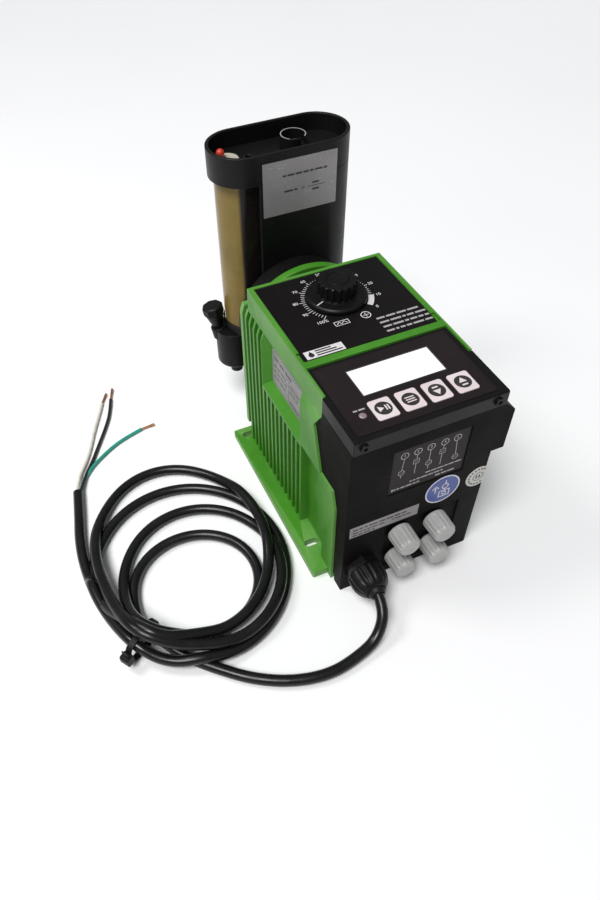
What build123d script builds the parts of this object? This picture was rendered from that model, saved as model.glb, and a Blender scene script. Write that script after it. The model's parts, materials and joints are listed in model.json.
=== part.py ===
"""Motor-driven diaphragm dosing pump with a calibration column on its head.

Millimetres. X runs across the pump, Y from the control side to the dosing head, Z up.
The origin lies on the floor under the middle of the base flange.
"""
from build123d import *
import math
import os

os.makedirs("parts", exist_ok=True)

# ---------------------------------------------------------------- driving dimensions
RUNNING = 0.05                      # radial clearance of a running fit
GAP = 0.3                           # clearance between faces of different moving bodies

# housing
HALF_WIDTH = 53.0                   # outer faces of the fins and of the side frames
DECK_HALF = 51.0                    # rim round the top deck
GROOVE_HALF = 47.0                  # bottom of the grooves between the fins
CAVITY_HALF = 43.5
DECK_TOP = 154.0
SHOULDER_LOW = 129.5                # the side faces lean in from here
SHOULDER_HIGH = 136.0
HOUSING_BACK = 73.0
DECK_BACK = 61.8
CAVITY_BACK = 69.0
FLOOR_THICK = 6.0
FLANGE_X = 128.6
FLANGE_Y = 154.0
LEDGE_Z = 89.0                      # top of the short fins, under the nameplate recess

# fins
FIN_PITCH = 7.1
FIN_THICK = 2.6
FIN_COUNT = 15
FIN_FIRST_Y = -29.5
FIRST_TALL_FIN = 9

# feet
SLOT_X = 54.0
SLOT_FRONT_Y = -52.0
SLOT_REAR_Y = 69.0
SLOT_LENGTH = 11.0
SLOT_WIDTH = 5.5

# front cover and control lid
FRONT_Y = -94.0
COVER_HALF = 51.5
COVER_TOP = 142.0
COVER_WALL = 3.0
LUG_X = 61.0
LUG_LOW = 99.0
LUG_BACK = -66.0
LID_TOP = 153.0
LID_FRONT = -95.0
LID_BACK = -28.9
LID_HALF = 49.0
DIVIDER_FRONT = -28.6
DIVIDER_BACK = -23.0
PANEL_HALF = 47.2
PANEL_BACK = 59.2
WINDOW_X = (-28.5, 27.3)
WINDOW_Y = (-63.4, -40.8)
KEY_SIZE = (14.0, 16.4)
KEY_FIRST_X = -23.4
KEY_PITCH = 17.75
KEY_Y = -77.4
KEY_NAMES = ("key_start", "key_menu", "key_down", "key_up")
LED_POS = (-36.7, -77.4)

# stroke adjustment
KNOB_Y = 28.3
SKIRT_R = 20.6
SKIRT_BASE = 154.0
SKIRT_TOP = 157.4
GRIP_R = 13.3
GRIP_TOP = 168.0
SPINDLE_R = 5.0

# drive
ROD_Z = 98.0
ROD_R = 6.0
WHEEL_Y = -12.0
WHEEL_R = 19.7
WORM_R = 6.0
WORM_X = -18.0
WORM_Y = WHEEL_Y - WHEEL_R - WORM_R - GAP
CAM_R = 15.0
ECCENTRICITY = 2.0
SHAFT_R = 5.0

# connectors on the front
SOCKET_XS = (-10.0, 17.0)
SOCKET_ZS = (22.0, 48.0)
CAP_R = 8.6
CAP_FRONT = -110.5
GLAND_X = -37.0
GLAND_Z = 23.0
GLAND_R = 13.0
GLAND_FRONT = -117.0

# dosing head and calibration column
HEAD_R = 51.0
FLANGE_BACK = 79.0
COLUMN_FRONT = 97.8
COLUMN_BACK = 145.4
COLUMN_Y = (COLUMN_FRONT + COLUMN_BACK) / 2
COLUMN_R = (COLUMN_BACK - COLUMN_FRONT) / 2
COLUMN_HALF = 51.5
COLUMN_TOP = 224.0
COLLAR_LOW = 204.0
COLUMN_LOW = 52.0
TRAY_FLOOR = 212.0
TUBE_CAP = (-37.5, 121.0)
VENT_SCREW = (-41.5, 123.5)
FILL_PLUG = (12.0, 124.0)
BODY_LEFT = -24.3
TUBE_X = -(COLUMN_HALF - COLUMN_R)
TUBE_R = 19.9
TUBE_WALL = 2.4
TUBE_LOW = 86.0
VALVE_X = -42.0
VALVE_R = 15.0
VALVE_LOW = 45.0
DISCHARGE_X = 30.0
DISCHARGE_LOW = 24.0
SEAT_Z = 10.0                       # height of a valve's seat above its foot
SEAT_R = 3.5
BALL_R = 4.2
BALL_LIFT = 2.45
BOSS_R = 6.4                        # slanted boss that carries the regulating knob
SPIGOT_R = 5.0
SPIGOT_LENGTH = 12.0

# mains cable
CABLE_R = 3.9
CORE_R = 1.35
COIL_TURNS = (                      # centre x, centre y, half width, half depth of each turn
    (-145.0, -51.0, 42.5, 41.0),
    (-138.0, -47.0, 54.0, 58.0),
    (-144.8, -19.0, 58.7, 76.0),
    (-146.0, -36.0, 65.5, 74.0),
)
COIL_HEIGHT = 23.4


# ---------------------------------------------------------------- helpers
def block(x, y, z):
    """Box between three pairs of coordinates."""
    size = Box(x[1] - x[0], y[1] - y[0], z[1] - z[0])
    return Pos((x[0] + x[1]) / 2, (y[0] + y[1]) / 2, (z[0] + z[1]) / 2) * size


def rod_z(x, y, low, high, radius):
    """Upright cylinder."""
    return Pos(x, y, (low + high) / 2) * Cylinder(radius, high - low)


def rod_y(x, z, front, back, radius):
    """Cylinder along Y."""
    return Pos(x, (front + back) / 2, z) * Rot(90, 0, 0) * Cylinder(radius, back - front)


def rod_x(y, z, left, right, radius):
    """Cylinder along X."""
    return Pos((left + right) / 2, y, z) * Rot(0, 90, 0) * Cylinder(radius, right - left)


def slab_from_side(points, half):
    """Outline in the YZ plane, extruded both ways across the pump."""
    face = make_face(Polyline(*points, close=True))
    return extrude(Plane.YZ * face, half, both=True)


def slab_from_front(points, front, back):
    """Outline in the XZ plane, extruded from front to back along Y."""
    face = make_face(Polyline(*points, close=True))
    plane = Plane(origin=(0, front, 0), x_dir=(1, 0, 0), z_dir=(0, -1, 0))
    return extrude(plane * face, -(back - front))


def plate(x, y, low, high, width, depth, corner):
    """Flat plate with rounded corners."""
    outline = Pos(x, y, low) * RectangleRounded(width, depth, corner)
    return extrude(outline, high - low)


def obround(half, radius, low, high, x=0.0, y=COLUMN_Y):
    """Upright prism with round ends, long along X."""
    outline = Pos(x, y, low) * SlotOverall(2 * half, 2 * radius)
    return extrude(outline, high - low)


def save(name, shape):
    export_step(shape, f"parts/{name}.step")


# ---------------------------------------------------------------- housing
# Joint line between the green housing and the black front cover, seen from the side.
JOINT_LINE = (
    (-82.0, 0.0),
    (-81.0, 77.0),
    (-76.0, 91.5),
    (-59.0, 91.5),
    (-48.0, 125.5),
    (-55.0, 138.5),
    (-55.0, DECK_TOP),
)


def fin_y(index):
    return FIN_FIRST_Y + index * FIN_PITCH


def fin_grooves(side):
    """The gaps between the fins on one side, open outwards and upwards."""
    inner, outer = side * GROOVE_HALF, side * (HALF_WIDTH + 2)
    x = (min(inner, outer), max(inner, outer))
    grooves = []
    for index in range(FIN_COUNT - 1):
        top = SHOULDER_HIGH if index >= FIRST_TALL_FIN else LEDGE_Z - 2.0
        y = (fin_y(index) + FIN_THICK / 2, fin_y(index + 1) - FIN_THICK / 2)
        grooves.append(block(x, y, (FLOOR_THICK, top)))
    return grooves


def side_pockets(side):
    """Nameplate recess, pocket over the front foot and clearance over the rear foot."""
    inner, outer = side * GROOVE_HALF, side * (HALF_WIDTH + 2)
    x = (min(inner, outer), max(inner, outer))
    front, back = fin_y(0) + FIN_THICK / 2, fin_y(FIRST_TALL_FIN) + FIN_THICK / 2
    # the recess has a sloping sill and a sloping rear edge
    sill = ((inner, LEDGE_Z + 7), (outer, LEDGE_Z - 2), (outer, SHOULDER_HIGH), (inner, SHOULDER_HIGH))
    rear = Polyline((inner, front), (outer, front), (outer, back + 1), (inner, back - 6), close=True)
    recess = slab_from_front(sill, front, back) & extrude(Pos(0, 0, LEDGE_Z - 3) * make_face(rear), 60)
    pocket = block(x, (-58.0, fin_y(0) - FIN_THICK / 2), (FLOOR_THICK, LEDGE_Z + 1))
    toe = block(x, (-66.0, -58.0), (FLOOR_THICK, 26.0))
    heel = block(x, (SLOT_REAR_Y - 5.5, HOUSING_BACK + 1), (FLOOR_THICK, 20.0))
    return [recess, pocket, toe, heel]


def make_housing():
    side = slab_from_side(
        (*JOINT_LINE, (DECK_BACK, DECK_TOP), (DECK_BACK, SHOULDER_HIGH),
         (HOUSING_BACK, SHOULDER_HIGH), (HOUSING_BACK, 0.0)), HALF_WIDTH)
    section = slab_from_front(
        ((-HALF_WIDTH, 0), (-HALF_WIDTH, SHOULDER_LOW), (-DECK_HALF, SHOULDER_HIGH),
         (-DECK_HALF, DECK_TOP), (DECK_HALF, DECK_TOP), (DECK_HALF, SHOULDER_HIGH),
         (HALF_WIDTH, SHOULDER_LOW), (HALF_WIDTH, 0)), -90, 90)
    shell = side & section
    shell += plate(0, 0, 0, FLOOR_THICK, FLANGE_X, FLANGE_Y, 1.5)
    shell -= block((-CAVITY_HALF, CAVITY_HALF), (-90, CAVITY_BACK), (FLOOR_THICK, 132.0))
    shell -= block((-CAVITY_HALF, CAVITY_HALF), (-90, DECK_BACK - 4), (130.0, 150.0))
    shell -= block((-GROOVE_HALF, GROOVE_HALF), (-90, LID_BACK + 0.3), (133.0, DECK_TOP + 1))
    # the cover overlaps the open front of the floor plate
    shell -= block((-COVER_HALF, COVER_HALF), (-90, -81.9), (-1, 30))
    lid_seat = LID_HALF + 0.2
    shell -= block((-lid_seat, lid_seat), (-90, LID_BACK + 0.3), (COVER_TOP - 0.2, DECK_TOP + 1))
    shell -= block((-PANEL_HALF, PANEL_HALF), (DIVIDER_BACK, PANEL_BACK), (152.5, DECK_TOP + 1))
    for side in (-1, 1):
        for cut in fin_grooves(side) + side_pockets(side):
            shell -= cut
        notch = (min(side * 46, side * 49.4), max(side * 46, side * 49.4))
        shell -= block(notch, (-22.6, -13.8), (152.5, DECK_TOP + 1))
        for y in (SLOT_FRONT_Y, SLOT_REAR_Y):
            slot = Pos(side * SLOT_X, y, -1) * SlotOverall(SLOT_LENGTH, SLOT_WIDTH)
            shell -= extrude(slot, FLOOR_THICK + 2)
    shell -= rod_z(0, KNOB_Y, 148, 156, SPINDLE_R + RUNNING)
    shell -= rod_y(0, ROD_Z, CAVITY_BACK - 1, HOUSING_BACK + 1, 24.0)
    return shell


def make_head_flange():
    ring = rod_y(0, ROD_Z, HOUSING_BACK, FLANGE_BACK, HEAD_R)
    ring = chamfer(ring.edges().filter_by(GeomType.CIRCLE), 0.6)
    ring -= rod_y(0, ROD_Z, HOUSING_BACK - 1, FLANGE_BACK + 1, ROD_R + RUNNING)
    ring -= rod_y(0, ROD_Z, FLANGE_BACK - 2, FLANGE_BACK + 1, 30.0)
    for x, z in head_bolts():
        ring -= rod_y(x, ROD_Z + z, HOUSING_BACK - 1, FLANGE_BACK + 1, 2.5)
    return ring


def head_bolts():
    """Six bolts clamp the dosing head."""
    return [(42 * math.cos(math.radians(a)), 42 * math.sin(math.radians(a)))
            for a in range(30, 390, 60)]


# ---------------------------------------------------------------- front cover, lid and panels
def make_front_cover():
    clear = [(y - 0.15, z) for y, z in JOINT_LINE[:-1]]
    outline = (*clear, (-55.15, COVER_TOP), (FRONT_Y, COVER_TOP), (FRONT_Y, 0.0))
    cover = slab_from_side(outline, COVER_HALF)
    inner = COVER_HALF - COVER_WALL
    cover -= block((-inner, inner), (FRONT_Y + COVER_WALL, 0), (COVER_WALL, COVER_TOP - 2.5))
    cover -= block((-43, 43), (FRONT_Y + 5, 0), (COVER_TOP - 3, COVER_TOP + 1))
    lug = slab_from_front(
        ((COVER_HALF, LUG_LOW), (LUG_X, LUG_LOW), (LUG_X, 133.0), (COVER_HALF, COVER_TOP)),
        FRONT_Y, LUG_BACK)
    cover += lug
    # recess for the terminal diagram
    cover -= block((-22.8, 31.2), (FRONT_Y - 1, FRONT_Y + 1.2), (91.2, 131.0))
    # recessed field round the four signal sockets, open downwards in two scallops
    cover -= block((-20.5, 35.5), (FRONT_Y - 1, FRONT_Y + 1.5), (10.0, 58.0))
    for x in SOCKET_XS:
        cover -= rod_y(x, 0.0, FRONT_Y - 1, FRONT_Y + 1.5, 11.0)
        for z in SOCKET_ZS:
            cover -= rod_y(x, z, FRONT_Y - 1, FRONT_Y + 5, 6.0 + RUNNING)
    cover -= rod_y(GLAND_X, GLAND_Z, FRONT_Y - 1, FRONT_Y + 5, 9.0)
    cover -= block((-56, 56), (-84, -40), (-1, FLOOR_THICK + 0.3))
    return cover


def key_x(index):
    return KEY_FIRST_X + index * KEY_PITCH


def make_control_lid():
    lid = block((-LID_HALF, LID_HALF), (-56.0, LID_BACK), (COVER_TOP, LID_TOP))
    lid += block((-COVER_HALF, COVER_HALF), (LID_FRONT, -55.15), (COVER_TOP, LID_TOP))
    front = lid.edges().filter_by(Axis.X).sort_by(Axis.Y)[:2].sort_by(Axis.Z)[-1]
    lid = chamfer(front, 1.0)
    lid -= block((-46, 46), (LID_FRONT + 3, LID_BACK - 3), (COVER_TOP - 1, LID_TOP - 2.5))
    window = block(WINDOW_X, WINDOW_Y, (COVER_TOP, LID_TOP + 1))
    lid -= window
    for index in range(4):
        lid -= plate(key_x(index), KEY_Y, LID_TOP - 4, LID_TOP + 1,
                     KEY_SIZE[0] + 0.4, KEY_SIZE[1] + 0.4, 1.9)
    lid -= rod_z(*LED_POS, LID_TOP - 4, LID_TOP + 1, 2.5)
    for x in (-44.5, 44.5):
        lid -= rod_y(x, 147.0, LID_FRONT - 1, LID_FRONT + 3.5, 1.6)
    return lid


def make_keypad_overlay():
    sheet = plate(-1.0, -61.5, LID_TOP, LID_TOP + 0.4, 92.0, 60.0, 2.0)
    sheet -= block(WINDOW_X, WINDOW_Y, (LID_TOP - 1, LID_TOP + 1))
    for index in range(4):
        sheet -= plate(key_x(index), KEY_Y, LID_TOP - 1, LID_TOP + 1,
                       KEY_SIZE[0] + 0.4, KEY_SIZE[1] + 0.4, 1.9)
    sheet -= rod_z(*LED_POS, LID_TOP - 1, LID_TOP + 1, 2.5)
    return sheet


def make_key(index):
    cap = plate(key_x(index), KEY_Y, LID_TOP - 3.0, LID_TOP + 0.8, *KEY_SIZE, 1.7)
    cap = fillet(cap.edges().group_by(Axis.Z)[-1], 0.35)
    stem = plate(key_x(index), KEY_Y, LID_TOP - 4.4, LID_TOP - 3.0, 6.0, 6.0, 1.0)
    return cap + stem


def make_display_window():
    pane = block((WINDOW_X[0], WINDOW_X[1]), WINDOW_Y, (LID_TOP - 1.0, LID_TOP + 0.3))
    return pane


def make_lcd_module():
    frame = block((-33, 32), (-65.5, -38.5), (COVER_TOP + 1.0, LID_TOP - 2.6))
    return frame


def make_control_board():
    board = block((-42, 42), (-88, -33), (COVER_TOP - 1.9, COVER_TOP - 0.3))
    for index in range(4):
        board += block((key_x(index) - 3, key_x(index) + 3), (KEY_Y - 3, KEY_Y + 3),
                       (COVER_TOP - 0.3, LID_TOP - 5.4))
    board += block((-30, 29), (-62, -42), (COVER_TOP - 0.3, COVER_TOP + 1.0))
    return board


def make_mode_led():
    lens = rod_z(*LED_POS, LID_TOP - 2.4, LID_TOP + 0.3, 2.5)
    return lens


def make_dial_panel():
    sheet = block((-PANEL_HALF, PANEL_HALF), (DIVIDER_BACK, PANEL_BACK), (152.5, 153.3))
    sheet -= rod_z(0, KNOB_Y, 150, 156, SPINDLE_R + 1.0)
    return sheet


def make_labels():
    """Thin printed plates and stickers."""
    side = Plane(origin=(-GROOVE_HALF, 3.6, 112.2), x_dir=(0, -1, 0), z_dir=(-1, 0, 0))
    save("side_nameplate", extrude(side * RectangleRounded(49, 30.5, 2.5), 0.5))
    front = Plane(origin=(0, FRONT_Y, 0), x_dir=(1, 0, 0), z_dir=(0, -1, 0))
    diagram = front * Pos(4.2, 111.1) * Rectangle(53.4, 39.2)
    save("terminal_label", extrude(Pos(0, 1.2, 0) * diagram, 0.4))
    blue = front * Pos(19.0, 77.6) * Circle(13.0)
    save("service_sticker", extrude(blue, 0.2))
    white = extrude(front * Pos(46.4, 77.0) * Circle(9.3), 0.2)
    save("test_sticker", white & block((30, COVER_HALF - 0.2), (FRONT_Y - 1, FRONT_Y), (60, 90)))
    strip = front * Pos(-22.8, 65.6) * Rectangle(50.6, 10.6)
    save("strip_label", extrude(strip, 0.2))
    column = Plane(origin=(5.4, COLUMN_FRONT, 198.9), x_dir=(1, 0, 0), z_dir=(0, -1, 0))
    save("column_label", extrude(column * Rectangle(55.0, 38.2), 0.2))


def make_cover_screws():
    screws = []
    for x in (-44.5, 44.5):
        head = rod_y(x, 147.0, LID_FRONT - 1.6, LID_FRONT, 2.9)
        hex_socket = Plane(origin=(x, LID_FRONT - 1.6, 147.0), z_dir=(0, -1, 0)) * RegularPolygon(1.5, 6)
        head -= extrude(hex_socket, -1.1)
        screws.append(head + rod_y(x, 147.0, LID_FRONT, LID_FRONT + 3.4, 1.6))
    return screws


# ---------------------------------------------------------------- connectors and gland
def make_signal_sockets():
    sockets = []
    for x in SOCKET_XS:
        for z in SOCKET_ZS:
            body = rod_y(x, z, FRONT_Y - 11.0, FRONT_Y + 5, 6.0)
            body += rod_y(x, z, FRONT_Y + COVER_WALL, FRONT_Y + 6, 9.0)
            body -= rod_y(x, z, FRONT_Y - 12, FRONT_Y - 3, 4.6)
            sockets.append(body)
    return sockets


def make_socket_cap(x, z):
    cap = rod_y(x, z, CAP_FRONT, FRONT_Y - 0.5, CAP_R)
    cap = chamfer(cap.edges().filter_by(GeomType.CIRCLE).group_by(Axis.Y)[0], 1.0)
    return cap - rod_y(x, z, CAP_FRONT + 2.5, FRONT_Y, 6.0 + GAP)


def make_gland():
    body = rod_y(GLAND_X, GLAND_Z, FRONT_Y - 9, FRONT_Y + 6, 9.0)
    collar = Plane(origin=(GLAND_X, FRONT_Y, GLAND_Z), z_dir=(0, -1, 0)) * RegularPolygon(12.4, 6)
    body += extrude(collar, 6.0)
    body -= rod_y(GLAND_X, GLAND_Z, FRONT_Y - 10, FRONT_Y + 7, 6.5)
    nut = rod_y(GLAND_X, GLAND_Z, GLAND_FRONT, FRONT_Y - 6.4, GLAND_R)
    nut = fillet(nut.edges().filter_by(GeomType.CIRCLE).group_by(Axis.Y)[0], 5.0)
    nut -= rod_y(GLAND_X, GLAND_Z, FRONT_Y - 9.2, FRONT_Y, 9.0)
    nut -= rod_y(GLAND_X, GLAND_Z, GLAND_FRONT - 1, FRONT_Y, 6.5)
    seal = rod_y(GLAND_X, GLAND_Z, GLAND_FRONT - 0.5, FRONT_Y + 2, 6.5)
    seal -= rod_y(GLAND_X, GLAND_Z, GLAND_FRONT - 1, FRONT_Y + 3, CABLE_R)
    return body, nut, seal


# ---------------------------------------------------------------- stroke adjustment and drive
def make_stroke_knob():
    skirt = rod_z(0, KNOB_Y, SKIRT_BASE, SKIRT_TOP, SKIRT_R)
    skirt = chamfer(skirt.edges().filter_by(GeomType.CIRCLE).group_by(Axis.Z)[-1], 1.2)
    grip = rod_z(0, KNOB_Y, SKIRT_TOP, GRIP_TOP, GRIP_R)
    grip = chamfer(grip.edges().filter_by(GeomType.CIRCLE).group_by(Axis.Z)[-1], 0.8)
    for angle in range(0, 360, 20):
        x = (GRIP_R + 0.4) * math.cos(math.radians(angle))
        y = (GRIP_R + 0.4) * math.sin(math.radians(angle))
        grip -= rod_z(x, KNOB_Y + y, SKIRT_TOP + 0.8, GRIP_TOP + 1, 1.6)
    grip -= rod_z(0, KNOB_Y, GRIP_TOP - 0.8, GRIP_TOP + 1, 7.6)
    return skirt + grip - rod_z(0, KNOB_Y, SKIRT_BASE - 1, 164, 4.0)


def make_adjusting_spindle():
    spindle = rod_z(0, KNOB_Y, 118.0, 150.0, SPINDLE_R)
    spindle += rod_z(0, KNOB_Y, 150.0, 152.8, SPINDLE_R)
    spindle += rod_z(0, KNOB_Y, 152.8, 164.0, 4.0)
    spindle += rod_z(0, KNOB_Y, 144.0, 149.7, 8.0)
    return spindle


def make_stroke_wedge():
    wedge = block((-14, 14), (KNOB_Y - 9, KNOB_Y + 9), (86, 132))
    wedge -= block((-7.5, 7.5), (KNOB_Y - 10, KNOB_Y + 10), (80, 109))
    wedge -= rod_z(0, KNOB_Y, 108, 133, SPINDLE_R + RUNNING)
    return wedge


def make_drive_motor():
    can = rod_z(WORM_X, WORM_Y, 12.0, 58.0, 22.0)
    can = fillet(can.edges().filter_by(GeomType.CIRCLE), 1.5)
    can += rod_z(WORM_X, WORM_Y, 58.0, 60.0, 11.0)
    return can - rod_z(WORM_X, WORM_Y, 40.0, 61.0, 3.0 + RUNNING)


def make_motor_shaft():
    shaft = rod_z(WORM_X, WORM_Y, 40.5, 116.0, 3.0)
    worm = rod_z(WORM_X, WORM_Y, 86.0, 114.0, WORM_R)
    for step in range(7):
        z = 88.0 + step * 3.8
        ring = rod_z(WORM_X, WORM_Y, z, z + 1.6, WORM_R + 1) - rod_z(WORM_X, WORM_Y, z, z + 1.6, 4.6)
        worm -= ring
    return shaft + worm


def make_worm_wheel():
    wheel = rod_x(WHEEL_Y, ROD_Z, WORM_X - 4, WORM_X + 4, WHEEL_R)
    for tooth in range(30):
        angle = math.radians(tooth * 12)
        y = WHEEL_Y + WHEEL_R * math.cos(angle)
        z = ROD_Z + WHEEL_R * math.sin(angle)
        wheel -= rod_x(y, z, WORM_X - 5, WORM_X + 5, 1.0)
    wheel += rod_x(WHEEL_Y, ROD_Z, -36.0, 36.0, SHAFT_R)
    wheel += rod_x(WHEEL_Y - ECCENTRICITY, ROD_Z, -6.0, 6.0, CAM_R)
    return wheel


def make_drive_bracket():
    frame = block((-42, 42), (-62, 10), (60, 65))
    for side in (-1, 1):
        x = (min(side * 30, side * 36), max(side * 30, side * 36))
        frame += block(x, (-28, 6), (65, 116))
        frame -= rod_x(WHEEL_Y, ROD_Z, x[0] - 1, x[1] + 1, 9.0)
    frame -= rod_z(WORM_X, WORM_Y, 59, 66, 11.2)
    # four posts carry the plate on the housing floor
    for x in (-39.0, 39.0):
        for y in (-60.0, 7.0):
            frame += block((x - 3, x + 3), (y - 3, y + 3), (FLOOR_THICK, 60))
    return frame


def make_bearings():
    rings = []
    for side in (-1, 1):
        x = (min(side * 30, side * 36), max(side * 30, side * 36))
        ring = rod_x(WHEEL_Y, ROD_Z, *x, 9.0) - rod_x(WHEEL_Y, ROD_Z, x[0] - 1, x[1] + 1, SHAFT_R + RUNNING)
        rings.append(ring)
    return rings


def make_pushrod():
    start = WHEEL_Y + ECCENTRICITY + CAM_R + GAP
    rod = rod_y(0, ROD_Z, start + 4, FLANGE_BACK + 3.5, ROD_R)
    rod += rod_y(0, ROD_Z, start, start + 5, 10.0)
    rod += rod_y(0, ROD_Z, 41.0, 44.0, 12.0)
    rod += rod_y(0, ROD_Z, FLANGE_BACK + 1.6, FLANGE_BACK + 3.5, 14.0)
    return rod


def make_return_spring():
    wire = 1.0
    length = 20.0
    path = Helix(pitch=3.4, height=length, radius=9.0)
    section = Plane(origin=path @ 0, z_dir=path % 0) * Circle(wire)
    coil = sweep(section, path=path)
    return Pos(0, 45.4, ROD_Z) * Rot(-90, 0, 0) * coil


# ---------------------------------------------------------------- dosing head and column
def make_diaphragm():
    disc = rod_y(0, ROD_Z, FLANGE_BACK, FLANGE_BACK + 1.2, 36.0)
    return disc - rod_y(0, ROD_Z, FLANGE_BACK - 1, FLANGE_BACK + 2, ROD_R + GAP)


def make_dosing_head():
    head = rod_y(0, ROD_Z, FLANGE_BACK, COLUMN_FRONT, HEAD_R - 5.0)
    head = chamfer(head.edges().filter_by(GeomType.CIRCLE), 1.0)
    head -= rod_y(0, ROD_Z, FLANGE_BACK - 1, FLANGE_BACK + 1.2, 36.0)
    head -= rod_y(0, ROD_Z, FLANGE_BACK, FLANGE_BACK + 8.5, 18.0)
    for x, z in head_bolts():
        head -= rod_y(x, ROD_Z + z, FLANGE_BACK - 1, COLUMN_FRONT - 4, 2.5)
    return head


def make_head_screws():
    screws = []
    for x, z in head_bolts():
        shank = rod_y(x, ROD_Z + z, HOUSING_BACK + 0.2, COLUMN_FRONT - 4, 2.5)
        screws.append(shank)
    return screws


def make_column_body():
    body = obround(COLUMN_HALF, COLUMN_R, COLUMN_LOW, COLLAR_LOW)
    body -= block((-60, BODY_LEFT), (90, 150), (COLUMN_LOW - 1, COLLAR_LOW + 1))
    body -= rod_z(TUBE_X, COLUMN_Y, COLUMN_LOW - 1, COLLAR_LOW + 1, TUBE_R + GAP)
    body -= rod_z(VALVE_X, COLUMN_Y, COLUMN_LOW - 1, TUBE_LOW, TUBE_R + 4)
    # liquid chamber
    body -= rod_z(22.0, COLUMN_Y, 70.0, COLLAR_LOW - 4, 18.0)
    body -= rod_z(DISCHARGE_X, COLUMN_Y, COLUMN_LOW - 1, 71.0, 6.0)
    return body


def make_column_tray():
    tray = obround(COLUMN_HALF, COLUMN_R, COLLAR_LOW, COLUMN_TOP)
    tray -= obround(COLUMN_HALF - 2.6, COLUMN_R - 2.6, TRAY_FLOOR, COLUMN_TOP + 1)
    tray = fillet(tray.edges().group_by(Axis.Z)[-1], 0.6)
    tray -= rod_z(TUBE_X, COLUMN_Y, COLLAR_LOW - 1, TRAY_FLOOR - 3, TUBE_R)
    return tray


def make_calibration_tube():
    tube = rod_z(TUBE_X, COLUMN_Y, TUBE_LOW, TRAY_FLOOR - 3, TUBE_R)
    return tube - rod_z(TUBE_X, COLUMN_Y, TUBE_LOW - 1, TRAY_FLOOR, TUBE_R - TUBE_WALL)


def make_tube_foot():
    """Socket that closes the foot of the tube and carries the suction valve."""
    foot = rod_z(TUBE_X - 0.5, COLUMN_Y, 78.0, TUBE_LOW, TUBE_R + 1.0)
    foot += rod_z(TUBE_X, COLUMN_Y, TUBE_LOW, TUBE_LOW + 5.0, TUBE_R - TUBE_WALL)
    foot -= block((BODY_LEFT - 0.2, 0), (90, 150), (70.0, TUBE_LOW))
    return foot - extrude(valve_knob_plane().offset(-20.0) * Circle(BOSS_R + 1.2), 40.0)


def make_tray_fittings():
    """Tube cap, vent screw and filling plug that stand in the tray."""
    cap = rod_z(*TUBE_CAP, TRAY_FLOOR, TRAY_FLOOR + 4.0, 8.0)
    cap = chamfer(cap.edges().filter_by(GeomType.CIRCLE).group_by(Axis.Z)[-1], 0.8)
    cap -= rod_z(*VENT_SCREW, TRAY_FLOOR - 1, TRAY_FLOOR + 5, 2.6 + GAP)
    button = rod_z(*VENT_SCREW, TRAY_FLOOR + GAP, TRAY_FLOOR + 7.0, 2.6)
    button += Pos(*VENT_SCREW, TRAY_FLOOR + 7.0) * Sphere(2.9)
    plug = rod_z(*FILL_PLUG, TRAY_FLOOR + GAP, TRAY_FLOOR + 2.0, 9.2)
    ridge = extrude(Pos(*FILL_PLUG, TRAY_FLOOR + 2.0) * (Circle(9.2) - Circle(8.0)), 7.2)
    ridge -= block((FILL_PLUG[0] + 2, FILL_PLUG[0] + 7), (FILL_PLUG[1] - 12, FILL_PLUG[1] - 4), (214, 240))
    return cap, button, plug + ridge


def make_valve_body(x, low, high, radius):
    """Cartridge valve: a bore with a seat for its ball."""
    body = rod_z(x, COLUMN_Y, low, high, radius)
    body = fillet(body.edges().filter_by(GeomType.CIRCLE).group_by(Axis.Z)[0], 2.0)
    body -= rod_z(x, COLUMN_Y, low + SEAT_Z, low + SEAT_Z + 12, 6.0)
    body -= rod_z(x, COLUMN_Y, low - 1, low + SEAT_Z + 1, SEAT_R)
    return body


def make_ball(x, low):
    """Ball resting over its seat, which is a little narrower than the ball."""
    return Pos(x, COLUMN_Y, low + SEAT_Z + BALL_LIFT) * Sphere(BALL_R)


def make_union(x, low):
    """Hose union under a valve: a tapered spigot with its collar."""
    union = rod_z(x, COLUMN_Y, low - SPIGOT_LENGTH, low, SPIGOT_R)
    union += rod_z(x, COLUMN_Y, low - 4, low, 8.5)
    return union - rod_z(x, COLUMN_Y, low - SPIGOT_LENGTH - 1, low + 1, 3.0)


def valve_knob_plane():
    """The knob's axis leaves the valve's shoulder outwards and steeply upwards."""
    return Plane(origin=(-53.8, 125.7, 79.1), x_dir=(0, 1, 0), z_dir=(-0.16, 0.129, 0.979))


def make_valve_knob():
    """Octagonal grip on a tapered neck."""
    plane = valve_knob_plane()
    knob = extrude(plane.offset(13.0) * RegularPolygon(8.6, 8), 6.5)
    knob = chamfer(knob.edges().group_by(Axis((0, 0, 0), tuple(plane.z_dir)))[-1], 1.2)
    return knob + plane * Pos(0, 0, 6.5) * Cone(4.2, 7.8, 13.0)


def make_suction_valve():
    """Cartridge valve with a slanted boss for its regulating knob."""
    boss = extrude(valve_knob_plane().offset(-10.0) * Circle(BOSS_R), 10.0 - GAP)
    return make_valve_body(VALVE_X, VALVE_LOW, 78.0, VALVE_R) + boss


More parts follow.
